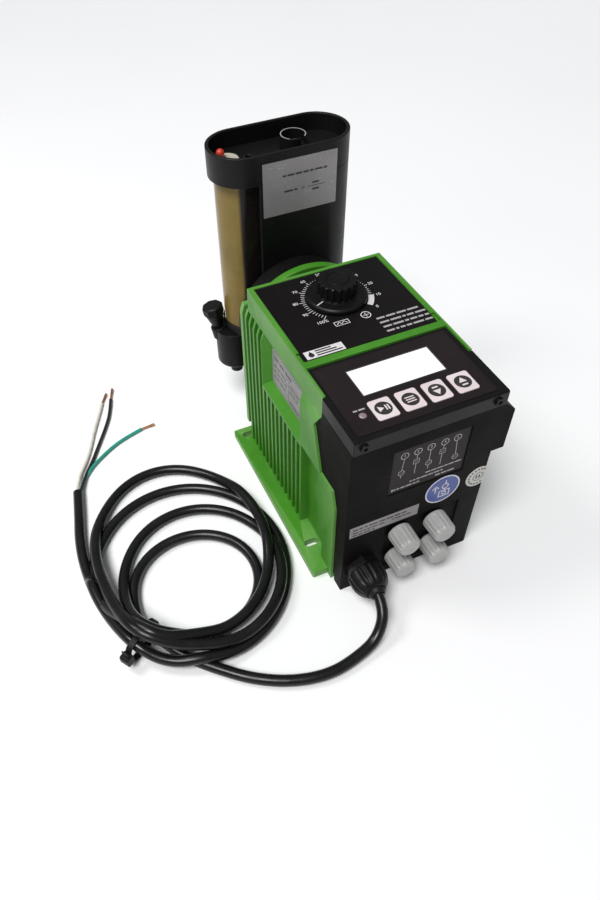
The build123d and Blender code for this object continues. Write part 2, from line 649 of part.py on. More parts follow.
# ---------------------------------------------------------------- cable
LEAD_ROUTE = (
    (GLAND_X, GLAND_FRONT - 0.5, GLAND_Z),
    (GLAND_X - 0.5, -130.0, 20.0),
    (-47.5, -140.5, 7.5),
    (-63.0, -145.5, 4.4),
    (-86.0, -149.5, 4.1),
    (-111.0, -144.0, 4.1),
    (-134.0, -131.5, 4.1),
    (-152.5, -115.0, 4.1),
)
TAIL_ROUTE = (
    (-211.4, -18.0, 4.1),
    (-211.8, 2.0, 4.1),
    (-209.6, 23.0, 4.1),
    (-204.6, 45.0, 4.1),
    (-200.0, 68.0, 4.1),
)
CORE_ROUTES = {
    "white": ((-200.6, 68.0, 5.4), (-196.0, 84.0, 3.0), (-187.5, 97.0, 1.6), (-179.6, 112.0, 1.5),
              (-172.5, 129.0, 1.5), (-164.5, 145.0, 1.5), (-157.0, 161.0, 1.5), (-150.0, 172.5, 1.5)),
    "black": ((-197.8, 68.0, 4.2), (-191.0, 83.5, 1.8), (-181.5, 97.5, 1.5), (-172.0, 113.5, 1.5),
              (-162.0, 130.0, 1.5), (-153.5, 146.5, 1.5), (-148.5, 163.0, 1.5), (-143.5, 176.5, 1.5)),
    "green": ((-199.4, 68.0, 2.4), (-193.0, 80.0, 1.5), (-184.0, 91.0, 1.5), (-173.0, 99.5, 1.5),
              (-160.5, 107.5, 1.5), (-147.0, 113.0, 1.5), (-134.0, 116.5, 1.5), (-122.0, 117.5, 1.5)),
}


def cord_tube(name, points, radius):
    """Round cord along straight runs joined by tangent arcs."""
    runs = [Vector(*b) - Vector(*a) for a, b in zip(points, points[1:])]
    radii = []
    for before, after in zip(runs, runs[1:]):
        half_turn = math.radians(before.get_angle(after)) / 2
        radii.append(0.45 * min(before.length, after.length) / math.tan(half_turn))
    path = FilletPolyline(*points, radius=radii)
    start = Plane(origin=path @ 0, z_dir=path % 0)
    tube = sweep(start * Circle(radius), path=path)
    print(name, "radii", [round(r, 1) for r in radii], "length", round(path.length, 1),
          "volume ratio", round(tube.volume / (math.pi * radius ** 2 * path.length), 4))
    return tube


def make_coil():
    """Outer shape of the loosely tied coil: a low ring round its turns."""
    outline = None
    for x, y, half_x, half_y in COIL_TURNS[1:]:
        turn = Pos(x, y) * Ellipse(half_x + CABLE_R, half_y + CABLE_R)
        outline = turn if outline is None else outline + turn
    x, y, half_x, half_y = COIL_TURNS[0]
    outline -= Pos(x, y) * Ellipse(half_x - CABLE_R, half_y - CABLE_R)
    return extrude(outline, COIL_HEIGHT)


def make_cable_tie():
    """Strap round the bundle, with its head standing on the outside."""
    height = COIL_HEIGHT + 1.2
    strap = block((-15.5, 15.5), (-2.2, 2.2), (0.2, height))
    strap -= block((-14.4, 14.4), (-3, 3), (-1, height - 1.1))
    head = block((-19.5, -15.5), (-3.6, 3.6), (4.0, 11.0))
    return Pos(-187.5, -79.0) * Rot(0, 0, 34) * (strap + head)


# ---------------------------------------------------------------- build
save("motor_housing", make_housing())
save("head_flange", make_head_flange())
save("front_cover", make_front_cover())
save("control_lid", make_control_lid())
save("keypad_overlay", make_keypad_overlay())
save("display_window", make_display_window())
save("lcd_module", make_lcd_module())
save("control_board", make_control_board())
save("mode_led", make_mode_led())
save("dial_panel", make_dial_panel())
make_labels()
save("cover_screws", Compound(make_cover_screws()))
for number, key_name in enumerate(KEY_NAMES):
    save(key_name, make_key(number))

save("signal_sockets", Compound(make_signal_sockets()))
cap_number = 0
for cap_z in SOCKET_ZS:
    for cap_x in SOCKET_XS:
        cap_number += 1
        save(f"socket_cap_{cap_number}", make_socket_cap(cap_x, cap_z))
gland_body, gland_nut, gland_seal = make_gland()
save("gland_body", gland_body)
save("gland_nut", gland_nut)
save("gland_seal", gland_seal)

save("stroke_knob", make_stroke_knob())
save("adjusting_spindle", make_adjusting_spindle())
save("stroke_wedge", make_stroke_wedge())
save("drive_motor", make_drive_motor())
save("motor_shaft", make_motor_shaft())
save("worm_wheel", make_worm_wheel())
save("drive_bracket", make_drive_bracket())
save("shaft_bearings", Compound(make_bearings()))
save("pushrod", make_pushrod())
save("return_spring", make_return_spring())

save("diaphragm", make_diaphragm())
save("dosing_head", make_dosing_head())
save("head_screws", Compound(make_head_screws()))
save("column_body", make_column_body())
save("column_tray", make_column_tray())
save("calibration_tube", make_calibration_tube())
save("tube_foot", make_tube_foot())
save("suction_valve", make_suction_valve())
save("suction_ball", make_ball(VALVE_X, VALVE_LOW))
save("discharge_valve", make_valve_body(DISCHARGE_X, DISCHARGE_LOW, COLUMN_LOW, VALVE_R - 2))
save("discharge_ball", make_ball(DISCHARGE_X, DISCHARGE_LOW))
unions = [make_union(VALVE_X, VALVE_LOW), make_union(DISCHARGE_X, DISCHARGE_LOW)]
save("hose_unions", Compound(unions))
save("valve_knob", make_valve_knob())
tube_cap, vent_screw, tray_plug = make_tray_fittings()
save("tube_cap", tube_cap)
save("vent_screw", vent_screw)
save("tray_plug", tray_plug)

save("cable_lead", cord_tube("lead", LEAD_ROUTE, CABLE_R))
save("cable_tail", cord_tube("tail", TAIL_ROUTE, CABLE_R))
save("cable_coil", make_coil())
save("cable_tie", make_cable_tie())
save("cable_cores", Compound([cord_tube(colour, route, CORE_R) for colour, route in CORE_ROUTES.items()]))
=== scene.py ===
"""Motor-driven dosing pump: cameras, lights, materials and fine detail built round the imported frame.

The object's frame is in metres. Small shapes are drawn in millimetres and scaled by MM.
"""
import json
import math
import random

import bmesh
import bpy
from mathutils import Matrix, Vector


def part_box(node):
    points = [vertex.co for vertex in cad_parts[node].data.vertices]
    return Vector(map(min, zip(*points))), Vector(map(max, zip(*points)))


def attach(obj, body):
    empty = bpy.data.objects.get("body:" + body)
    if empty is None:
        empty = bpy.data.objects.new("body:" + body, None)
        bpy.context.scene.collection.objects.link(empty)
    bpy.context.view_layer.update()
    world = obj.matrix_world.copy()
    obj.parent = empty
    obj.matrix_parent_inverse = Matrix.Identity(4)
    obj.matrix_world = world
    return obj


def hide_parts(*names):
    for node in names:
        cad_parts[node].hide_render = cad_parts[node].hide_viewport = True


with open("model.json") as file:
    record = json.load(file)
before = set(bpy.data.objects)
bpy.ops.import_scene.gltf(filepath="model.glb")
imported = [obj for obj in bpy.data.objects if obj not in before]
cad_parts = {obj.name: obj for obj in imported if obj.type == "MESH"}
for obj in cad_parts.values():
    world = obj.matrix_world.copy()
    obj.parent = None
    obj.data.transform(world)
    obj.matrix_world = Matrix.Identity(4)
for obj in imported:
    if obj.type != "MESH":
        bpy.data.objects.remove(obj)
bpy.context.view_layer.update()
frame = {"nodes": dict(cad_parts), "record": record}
NODES = frame["nodes"]
MM = 0.001

# ---------------------------------------------------------------- camera and light, in metres
YAW = math.radians(-22.36)
PITCH = math.radians(49.04)
ROLL = math.radians(-1.72)
EYE = Vector((-0.1934, -0.3255, 0.445))
LENS = 28.92
SHIFT = (0.0276, 0.0178)
FLOOR_HALF = 3.0
FLOOR_LEVEL = -0.0002


def make_camera():
    """The photo's camera, fitted to the corners of the housing."""
    right = Vector((math.cos(YAW), math.sin(YAW), 0))
    level = Vector((-math.sin(YAW), math.cos(YAW), 0))
    ahead = level * math.cos(PITCH) - Vector((0, 0, 1)) * math.sin(PITCH)
    up = right.cross(ahead)
    rolled_right = right * math.cos(ROLL) + up * math.sin(ROLL)
    rolled_up = up * math.cos(ROLL) - right * math.sin(ROLL)
    axes = Matrix((rolled_right, rolled_up, -ahead)).transposed().to_4x4()
    data = bpy.data.cameras.new("view")
    data.lens = LENS
    data.sensor_width = 36.0
    data.shift_x, data.shift_y = SHIFT
    data.clip_start = 0.01
    camera = bpy.data.objects.new("view", data)
    camera.matrix_world = Matrix.Translation(EYE) @ axes
    bpy.context.scene.collection.objects.link(camera)
    bpy.context.scene.camera = camera


def area_light(name, at, towards, size, power):
    data = bpy.data.lights.new(name, "AREA")
    data.shape = "RECTANGLE"
    data.size, data.size_y = size
    data.energy = power
    light = bpy.data.objects.new(name, data)
    light.location = at
    light.rotation_mode = "QUATERNION"
    light.rotation_quaternion = (Vector(towards) - Vector(at)).to_track_quat("-Z", "Y")
    bpy.context.scene.collection.objects.link(light)


def make_studio():
    """Pale surround, one soft sun, a small light for glints and a white floor."""
    world = bpy.data.worlds.new("studio")
    bpy.context.scene.world = world
    world.use_nodes = True
    background = world.node_tree.nodes["Background"]
    background.inputs["Color"].default_value = (0.93, 0.95, 1.0, 1)
    background.inputs["Strength"].default_value = 0.27
    sun = bpy.data.lights.new("key", "SUN")
    sun.energy = 2.7
    sun.angle = 0.45
    key = bpy.data.objects.new("key", sun)
    key.rotation_mode = "QUATERNION"
    key.rotation_quaternion = Vector((0.42, 0.3, -1.0)).to_track_quat("-Z", "Y")
    bpy.context.scene.collection.objects.link(key)
    area_light("glint", (-0.55, 0.25, 0.9), (-0.05, 0.0, 0.08), (0.25, 0.25), 3.0)
    bpy.context.scene.view_settings.view_transform = "Standard"
    floor = bpy.data.meshes.new("floor")
    corners = [(x * FLOOR_HALF, y * FLOOR_HALF, FLOOR_LEVEL)
               for x, y in ((-1, -1), (1, -1), (1, 1), (-1, 1))]
    floor.from_pydata(corners, [], [(0, 1, 2, 3)])
    piece = bpy.data.objects.new("floor", floor)
    bpy.context.scene.collection.objects.link(piece)
    pale = Finish("pale_floor", (0.86, 0.86, 0.86), 0.7).tint((0.8, 0.8, 0.8), 3, 0.3)
    piece.data.materials.append(pale.mat)


# ---------------------------------------------------------------- materials
class Finish:
    """A procedural material: a base colour with tints, roughness, bump and scratches laid on it."""

    def __init__(self, name, colour, rough, metallic=0.0, coat=0.0, shine=0.5):
        self.mat = bpy.data.materials.new(name)
        self.mat.use_nodes = True
        self.tree = self.mat.node_tree
        self.shader = self.tree.nodes["Principled BSDF"]
        self.shader.inputs["Base Color"].default_value = (*colour, 1)
        self.shader.inputs["Roughness"].default_value = rough
        self.shader.inputs["Metallic"].default_value = metallic
        self.shader.inputs["Coat Weight"].default_value = coat
        self.shader.inputs["Specular IOR Level"].default_value = shine
        self.shader.inputs["Coat Roughness"].default_value = 0.12
        self.place = self.node("ShaderNodeTexCoord").outputs["Object"]
        self.colour = None
        self.normal = None

    def node(self, kind, **settings):
        made = self.tree.nodes.new(kind)
        for key, value in settings.items():
            setattr(made, key, value)
        return made

    def link(self, source, target):
        self.tree.links.new(source, target)

    def noise(self, scale, detail=4.0, stretch=None):
        """Noise in the object's own place, drawn out along its axes by stretch."""
        made = self.node("ShaderNodeTexNoise")
        made.inputs["Scale"].default_value = scale
        made.inputs["Detail"].default_value = detail
        place = self.place
        if stretch:
            mapping = self.node("ShaderNodeMapping")
            mapping.inputs["Scale"].default_value = stretch
            mapping.inputs["Rotation"].default_value = (0.3, 0.5, 0.7)
            self.link(place, mapping.inputs["Vector"])
            place = mapping.outputs["Vector"]
        self.link(place, made.inputs["Vector"])
        return made.outputs["Fac"]

    def ramp(self, source, low, high, top=1.0, bottom=0.0):
        """Takes source from low..high to bottom..top."""
        made = self.node("ShaderNodeMapRange")
        made.inputs["From Min"].default_value = low
        made.inputs["From Max"].default_value = high
        made.inputs["To Min"].default_value = bottom
        made.inputs["To Max"].default_value = top
        self.link(source, made.inputs["Value"])
        return made.outputs["Result"]

    def mix(self, factor, colour):
        """Lays a colour over what the material has so far."""
        made = self.node("ShaderNodeMix", data_type="RGBA")
        if self.colour is None:
            made.inputs["A"].default_value = self.shader.inputs["Base Color"].default_value
        else:
            self.link(self.colour, made.inputs["A"])
        made.inputs["B"].default_value = (*colour, 1)
        self.link(factor, made.inputs["Factor"])
        self.colour = made.outputs["Result"]
        self.link(self.colour, self.shader.inputs["Base Color"])
        return self

    def tint(self, colour, scale, amount, detail=4.0, low=0.35, high=0.7):
        """Clouds of another colour."""
        return self.mix(self.ramp(self.noise(scale, detail), low, high, amount), colour)

    def gloss(self, scale, low, high):
        """Roughness that wanders between two values."""
        self.link(self.ramp(self.noise(scale, 5.0), 0.3, 0.7, high, low), self.shader.inputs["Roughness"])
        return self

    def bump(self, scale, distance, strength=0.5, detail=3.0, stretch=None):
        made = self.node("ShaderNodeBump")
        made.inputs["Distance"].default_value = distance
        made.inputs["Strength"].default_value = strength
        self.link(self.noise(scale, detail, stretch), made.inputs["Height"])
        if self.normal is not None:
            self.link(self.normal, made.inputs["Normal"])
        self.normal = made.outputs["Normal"]
        self.link(self.normal, self.shader.inputs["Normal"])
        return self

    def scratches(self, colour, amount, scale=60.0):
        """Fine long marks in two directions."""
        for stretch in ((1, 22, 3), (18, 1, 2)):
            self.mix(self.ramp(self.noise(scale, 2.0, stretch), 0.66, 0.72, amount), colour)
        return self

    def worn_edges(self, colour, amount):
        """Paler where the surface turns over an outer edge: part wear, part painted highlight."""
        point = self.node("ShaderNodeNewGeometry").outputs["Pointiness"]
        return self.mix(self.ramp(point, 0.53, 0.62, amount), colour)


def moulded(name, colour, rough, grain=0.00002, dust=0.25, shine=0.5):
    """Moulded plastic with a fine grain, uneven gloss and a little dust."""
    pale = tuple(0.85 * c + 0.003 for c in colour)
    return (Finish(name, colour, rough, shine=shine)
            .tint(pale, 14, dust)
            .tint(pale, 900, dust * 0.5, 2.0, 0.5, 0.8)
            .scratches(tuple(c + 0.02 for c in colour), 0.25)
            .gloss(30, rough - 0.05, rough + 0.12)
            .bump(1400, grain, 0.6))


def make_finishes():
    """Every material, by the name of the record's slot or of the print that uses it."""
    made = {}
    made["housing_green"] = (Finish("green_enamel", (0.052, 0.225, 0.016), 0.42, shine=0.3)
                             .tint((0.034, 0.16, 0.010), 18, 0.6)
                             .tint((0.09, 0.3, 0.035), 60, 0.3, 3.0, 0.5, 0.75)
                             .scratches((0.16, 0.36, 0.09), 0.25, 45)
                             # pale edges: part wear, part painted highlight where light catches the fins
                             # and rim
                             .worn_edges((0.22, 0.42, 0.13), 0.5)
                             .gloss(25, 0.36, 0.52)
                             .bump(700, 0.00005, 0.5))
    made["cover_black"] = moulded("black_cover", (0.0045, 0.0036, 0.0033), 0.52, 0.00004, shine=0.06)
    made["gloss_black"] = moulded("black_moulding", (0.005, 0.0047, 0.0048), 0.38, 0.00001, 0.2, 0.2)
    made["overlay_black"] = (Finish("black_film", (0.013, 0.0093, 0.0098), 0.48, shine=0.14)
                             .tint((0.02, 0.0145, 0.015), 16, 0.7)
                             .scratches((0.04, 0.035, 0.035), 0.2)
                             .gloss(20, 0.38, 0.5)
                             .bump(2500, 0.00001, 0.5))
    made["panel_black"] = (Finish("panel_film", (0.006, 0.0052, 0.0055), 0.48, shine=0.1)
                           .tint((0.01, 0.0085, 0.009), 16, 0.6)
                           .gloss(20, 0.38, 0.5)
                           .bump(2500, 0.00001, 0.5))
    made["key_face"] = (Finish("key_film", (0.66, 0.56, 0.57), 0.42)
                        .tint((0.72, 0.66, 0.66), 60, 0.6)
                        .gloss(60, 0.36, 0.5)
                        .bump(2200, 0.00001, 0.4))
    made["display_white"] = (Finish("display_pane", (0.9, 0.9, 0.9), 0.12, 0.0, 0.4)
                             .tint((0.95, 0.95, 0.96), 30, 0.6).gloss(30, 0.08, 0.16))
    made["lamp_lens"] = (Finish("lamp_lens", (0.2, 0.15, 0.165), 0.25, 0.0, 0.3)
                         .tint((0.3, 0.24, 0.25), 500, 0.8).bump(1500, 0.00003, 0.4))
    made["label_silver"] = (Finish("foil_label", (0.3, 0.285, 0.29), 0.42, 0.3)
                            .tint((0.22, 0.205, 0.21), 35, 0.6)
                            .scratches((0.55, 0.55, 0.55), 0.35, 110)
                            .gloss(40, 0.35, 0.55)
                            .bump(500, 0.00004, 0.4, 3.0, (1, 1, 12)))
    made["sticker_blue"] = (Finish("blue_vinyl", (0.035, 0.065, 0.26), 0.35)
                            .tint((0.06, 0.1, 0.34), 120, 0.5)
                            .gloss(90, 0.3, 0.45)
                            .bump(900, 0.00002, 0.4))
    made["sticker_white"] = (Finish("white_vinyl", (0.56, 0.55, 0.51), 0.4)
                             .tint((0.45, 0.43, 0.38), 120, 0.5)
                             .gloss(90, 0.35, 0.5)
                             .bump(900, 0.00002, 0.4))
    made["cap_white"] = polyethylene()
    made["tube_amber"] = amber_tube()
    made["ivory_plastic"] = moulded("ivory_moulding", (0.42, 0.4, 0.33), 0.4)
    made["red_plastic"] = moulded("red_moulding", (0.5, 0.03, 0.015), 0.35)
    made["screw_steel"] = steel("blackened_steel", (0.03, 0.028, 0.028), 0.45)
    made["shaft_steel"] = steel("shaft_steel", (0.5, 0.5, 0.52), 0.25)
    made["bracket_cast"] = steel("cast_bracket", (0.3, 0.3, 0.31), 0.55).bump(300, 0.0002, 0.6)
    made["wheel_bronze"] = steel("bronze", (0.6, 0.38, 0.14), 0.3)
    made["seal_rubber"] = moulded("seal_rubber", (0.006, 0.006, 0.006), 0.55, 0.00005, shine=0.25)
    made["membrane"] = moulded("membrane", (0.62, 0.6, 0.55), 0.5)
    made["ball_ceramic"] = moulded("ceramic", (0.78, 0.75, 0.68), 0.2)
    made["board_green"] = (Finish("solder_mask", (0.02, 0.12, 0.05), 0.35)
                           .tint((0.05, 0.2, 0.09), 700, 0.6, 1.0).bump(1200, 0.0001, 0.5))
    made["cable_black"] = (Finish("cable_jacket", (0.0045, 0.0042, 0.0045), 0.24, shine=0.35)
                           .tint((0.011, 0.0105, 0.011), 40, 0.5)
                           .tint((0.04, 0.04, 0.04), 700, 0.15, 2.0, 0.55, 0.8)
                           .gloss(70, 0.2, 0.36)
                           .bump(260, 0.00012, 0.35))
    made["core_colours"] = core_finish("white_core", (0.7, 0.66, 0.58))
    made["core_black"] = core_finish("black_core", (0.012, 0.012, 0.012))
    made["core_green"] = core_finish("green_core", (0.02, 0.3, 0.22))
    made["copper"] = steel("bare_copper", (0.52, 0.24, 0.12), 0.35)
    made["print_white"] = (Finish("white_ink", (0.68, 0.66, 0.66), 0.5)
                           .tint((0.5, 0.48, 0.48), 800, 0.6).bump(2500, 0.00001, 0.3))
    made["print_grey"] = (Finish("grey_ink", (0.4, 0.38, 0.38), 0.5)
                          .tint((0.26, 0.25, 0.25), 900, 0.6).bump(2500, 0.00001, 0.3))
    made["print_black"] = (Finish("black_ink", (0.02, 0.018, 0.018), 0.45)
                           .tint((0.05, 0.045, 0.045), 800, 0.5).bump(2500, 0.00001, 0.3))
    return {key: finish.mat for key, finish in made.items()}


def steel(name, colour, rough):
    """Bare metal with drawn marks."""
    dark = tuple(0.6 * c for c in colour)
    return (Finish(name, colour, rough, 0.95)
            .tint(dark, 90, 0.5)
            .gloss(120, rough - 0.05, rough + 0.15)
            .bump(900, 0.00002, 0.4, 2.0, (1, 1, 10)))


def polyethylene():
    """Natural polyethylene: milky, with light passing a little way in."""
    made = (Finish("polyethylene", (0.43, 0.425, 0.415), 0.36)
            .tint((0.36, 0.355, 0.345), 120, 0.5)
            .gloss(200, 0.3, 0.45)
            .bump(900, 0.00004, 0.4))
    made.shader.inputs["Subsurface Weight"].default_value = 0.3
    made.shader.inputs["Subsurface Radius"].default_value = (1.0, 0.95, 0.9)
    made.shader.inputs["Subsurface Scale"].default_value = 0.004
    made.shader.inputs["Transmission Weight"].default_value = 0.12
    return made


def amber_tube():
    """Yellowed tube; its right part is painted dark to stand for the black column seen through it, with
    pale painted highlights along it.
    """
    made = (Finish("amber_tube", (0.3, 0.21, 0.055), 0.16)
            .tint((0.2, 0.13, 0.03), 26, 0.7)
            .tint((0.38, 0.29, 0.1), 90, 0.3, 3.0, 0.5, 0.8))
    across = made.node("ShaderNodeSeparateXYZ")
    made.link(made.place, across.inputs["Vector"])
    # painted darkness: the black column as seen through the tube, not the tube's own colour
    painted_see_through_dark = made.ramp(across.outputs["X"], -0.0381, -0.0361)
    made.mix(painted_see_through_dark, (0.012, 0.008, 0.0085))
    # painted highlights: pale vertical lines laid over the painted dark part
    painted_highlight_streaks = made.node("ShaderNodeMath", operation="MULTIPLY")
    made.link(made.ramp(made.noise(260, 2.0, (1, 1, 0.02)), 0.5, 0.75, 0.35), painted_highlight_streaks.inputs[0])
    made.link(painted_see_through_dark, painted_highlight_streaks.inputs[1])
    made.mix(painted_highlight_streaks.outputs["Value"], (0.09, 0.07, 0.075))
    made.gloss(60, 0.12, 0.26).bump(160, 0.0001, 0.25, 2.0, (1, 1, 0.2))
    made.shader.inputs["Transmission Weight"].default_value = 0.3
    made.shader.inputs["IOR"].default_value = 1.3
    return made


def core_finish(name, colour):
    """Insulation of one core."""
    darker = tuple(0.7 * c for c in colour)
    return Finish(name, colour, 0.4).tint(darker, 160, 0.5).gloss(200, 0.3, 0.5).bump(900, 0.00003, 0.4)


def dress_nodes(finishes):
    """Gives every CAD node the finish of its slot; the dial's panel is darker than the lid's film."""
    for entry in frame["record"]["subparts"]:
        node = NODES[entry["node"]]
        material = finishes[entry["material_slot"]]
        if not node.material_slots:
            node.data.materials.append(material)
        for place in node.material_slots:
            place.material = material
    NODES["dial_panel"].material_slots[0].material = finishes["panel_black"]


EDGE_RADII = {
    "front_cover": 0.5, "control_lid": 0.5, "column_body": 0.6,
    "head_flange": 0.3, "dosing_head": 0.5, "stroke_knob": 0.25, "valve_knob": 0.5, "suction_valve": 0.5,
    "tube_foot": 0.5, "discharge_valve": 0.5, "tray_plug": 0.3, "tube_cap": 0.3, "display_window": 0.15,
    "gland_body": 0.4, "keypad_overlay": 0.1, "dial_panel": 0.15,
}


def soften_edges():
    """Small rounds on the moulded and cast pieces; the nodes' own meshes stay as they are."""
    for name, radius in EDGE_RADII.items():
        node = NODES[name]
        weld = node.modifiers.new("weld", "WELD")
        weld.merge_threshold = 0.00001
        flat = node.modifiers.new("flat", "DECIMATE")
        flat.decimate_type = "DISSOLVE"
        flat.angle_limit = math.radians(0.5)
        bevel = node.modifiers.new("round", "BEVEL")
        bevel.width = radius * MM
        bevel.segments = 2
        bevel.limit_method = "ANGLE"
        bevel.angle_limit = math.radians(35)
        bevel.use_clamp_overlap = False
        node.modifiers.new("shade", "WEIGHTED_NORMAL")


# ---------------------------------------------------------------- mesh helpers, in millimetres
PRINT_THICK = 0.06                  # thickness of a print; the next one starts on top


def facing(origin, right, up):
    """Placement whose x runs right, y runs up and z comes out of the surface."""
    right, up = Vector(right), Vector(up)
    turn = Matrix((right, up, right.cross(up))).transposed().to_4x4()
    return Matrix.Translation(Vector(origin)) @ turn


def on_top(x, y, z):
    return facing((x, y, z), (1, 0, 0), (0, 1, 0))


def on_front(x, y, z):
    return facing((x, y, z), (1, 0, 0), (0, 0, 1))


class Shape:
    """Closed solids collected into one piece."""

    def __init__(self):
        self.bm = bmesh.new()

    def skin(self, rows, place, caps=True):
        """Joins equal rows of points into a tube: capped, or its last row joined to its first."""
        rings = [[self.bm.verts.new(place @ Vector(p)) for p in row] for row in rows]
        count = len(rings[0])
        for a, b in zip(rings, rings[1:]):
            for i in range(count):
                j = (i + 1) % count
                self.bm.faces.new((a[i], a[j], b[j], b[i]))
        if caps:
            self.bm.faces.new(list(reversed(rings[0])))
            self.bm.faces.new(rings[-1])
        else:
            for i in range(count):
                j = (i + 1) % count
                self.bm.faces.new((rings[-1][i], rings[-1][j], rings[0][j], rings[0][i]))
        return self

    def prism(self, outline, place, high=PRINT_THICK, low=-0.02):
        """Outline points, in order round it, raised from low to high."""
        return self.skin([[(x, y, low) for x, y in outline], [(x, y, high) for x, y in outline]], place)

    def bar(self, x, y, width, depth, place, high=PRINT_THICK):
        """Rectangle with its lower left corner at x, y."""
        return self.prism([(x, y), (x + width, y), (x + width, y + depth), (x, y + depth)], place, high)

    def disc(self, x, y, radius, place, high=PRINT_THICK):
        steps = 40
        angles = [2 * math.pi * i / steps for i in range(steps)]
        outline = [(x + radius * math.cos(a), y + radius * math.sin(a)) for a in angles]
        return self.prism(outline, place, high)

    def arc(self, x, y, inner, outer, start, end, place, high=PRINT_THICK):
        """Part of a ring between two angles in degrees."""
        steps = max(2, int(abs(end - start) / 6))
        angles = [math.radians(start + (end - start) * i / steps) for i in range(steps + 1)]
        outside = [(x + outer * math.cos(a), y + outer * math.sin(a)) for a in angles]
        inside = [(x + inner * math.cos(a), y + inner * math.sin(a)) for a in reversed(angles)]
        return self.prism(outside + inside, place, high)

    def ring(self, x, y, inner, outer, place, high=PRINT_THICK):
        for start in (0, 180):
            self.arc(x, y, inner, outer, start, start + 180, place, high)
        return self

    def frame(self, x, y, width, depth, line, place, high=PRINT_THICK):
        """Outline of a rectangle, drawn in four bars."""
        self.bar(x, y, width, line, place, high)
        self.bar(x, y + depth - line, width, line, place, high)
        self.bar(x, y + line, line, depth - 2 * line, place, high)
        return self.bar(x + width - line, y + line, line, depth - 2 * line, place, high)

    def stroke(self, a, b, line, place, high=PRINT_THICK):
        """Straight line of a given width from a to b."""
        along = Vector((b[0] - a[0], b[1] - a[1]))
        side = Vector((-along.y, along.x)).normalized() * line / 2
        corners = [(a[0] - side.x, a[1] - side.y), (b[0] - side.x, b[1] - side.y),
                   (b[0] + side.x, b[1] + side.y), (a[0] + side.x, a[1] + side.y)]
        return self.prism(corners, place, high)

    def figures(self, text, x, y, size, place):
        """Numbers, centred on x, y."""
        curve = bpy.data.curves.new("figures", "FONT")
        curve.body = text
        curve.size = size
        curve.align_x, curve.align_y = "CENTER", "CENTER"
        curve.extrude = 0.04
        curve.resolution_u = 3
        holder = bpy.data.objects.new("figures", curve)
        bpy.context.scene.collection.objects.link(holder)
        depsgraph = bpy.context.evaluated_depsgraph_get()
        mesh = bpy.data.meshes.new_from_object(holder.evaluated_get(depsgraph))
        mesh.transform(place @ Matrix.Translation((x, y, 0.02)))
        self.bm.from_mesh(mesh)
        bpy.data.objects.remove(holder)
        bpy.data.meshes.remove(mesh)
        return self

    def words(self, x, y, width, depth, rows, place, pitch, seed):
        """Lines of small bars that stand for print."""
        draw = random.Random(seed)
        for row in range(rows):
            at = x
            while at < x + width - pitch * 0.5:
                run = min(draw.uniform(0.8, 3.2) * depth * 1.6, x + width - at)
                self.bar(at, y - row * pitch, run, depth, place)
                at += run + depth * 0.7
        return self

    def print_lines(self, lines, place, pitch, seed):
        """Single lines of print from (x, y, width, depth), each with its own seed."""
        for number, (x, y, width, depth) in enumerate(lines):
            self.words(x, y, width, depth, 1, place, pitch, seed + number)
        return self

    def turned(self, profile, place, steps=48, ribs=0, closed=False):
        """Turned solid from (radius, height, rib depth) points; ribs run along its axis."""
        rows = []
        for radius, height, depth in profile:
            row = []
            for i in range(steps):
                angle = 2 * math.pi * i / steps
                swell = depth * math.cos(ribs * angle) if ribs else 0.0
                row.append(((radius + swell) * math.cos(angle), (radius + swell) * math.sin(angle), height))
            rows.append(row)
        return self.skin(rows, place, caps=not closed)

    def tube(self, points, radius, steps):
        """Round wire along points."""
        rows = []
        for i, point in enumerate(points):
            ahead = points[min(i + 1, len(points) - 1)] - points[max(i - 1, 0)]
            turn = ahead.to_track_quat("Z", "Y").to_matrix()
            rows.append([point + turn @ Vector((radius * math.cos(2 * math.pi * k / steps),
                                                radius * math.sin(2 * math.pi * k / steps), 0))
                         for k in range(steps)])
        return self.skin(rows, Matrix.Identity(4))

    def piece(self, name, material, body, slot, replaces=(), rounds=0.0, smooth=True):
        """Ends the shape as one object that rides on a body."""
        bmesh.ops.recalc_face_normals(self.bm, faces=self.bm.faces)
        self.bm.transform(Matrix.Scale(MM, 4))
        mesh = bpy.data.meshes.new(name)
        self.bm.to_mesh(mesh)
        self.bm.free()
        mesh.materials.append(material)
        made = bpy.data.objects.new(name, mesh)
        bpy.context.scene.collection.objects.link(made)
        if smooth:
            for polygon in mesh.polygons:
                polygon.use_smooth = True
        if rounds:
            bevel = made.modifiers.new("round", "BEVEL")
            bevel.width = rounds * MM
            bevel.segments = 2
            bevel.limit_method = "ANGLE"
            bevel.angle_limit = math.radians(40)
        if smooth:
            made.modifiers.new("shade", "WEIGHTED_NORMAL")
        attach(made, body)
        if replaces:
            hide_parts(*replaces)
        return made

    def ink(self, name, material, body, slot):
        """Flat print, with sharp edges."""
        return self.piece(name, material, body, slot, smooth=False)


def top_of(node):
    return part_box(node)[1].z / MM


def front_of(node):
    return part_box(node)[0].y / MM


# ---------------------------------------------------------------- dial panel and knob
KNOB_X, KNOB_Y = 0.0, 28.3
SCALE_START = -45.0                 # angle of the 0 % mark
SCALE_STEP = 27.0                   # degrees for each 10 %
TICKS_PER_STEP = 5
TICK_START_R = 21.4
LONG_TICK_R = 25.6
SHORT_TICK_R = 24.0
SCALE_LINE = 0.42
SYMBOL_LINE = 0.45
POINTER_ANGLE = 203.0
POINTER_FROM_R, POINTER_TO_R = 13.8, 19.6
SKIRT_TOP = 157.4


def polar(radius, angle):
    return radius * math.cos(angle), radius * math.sin(angle)


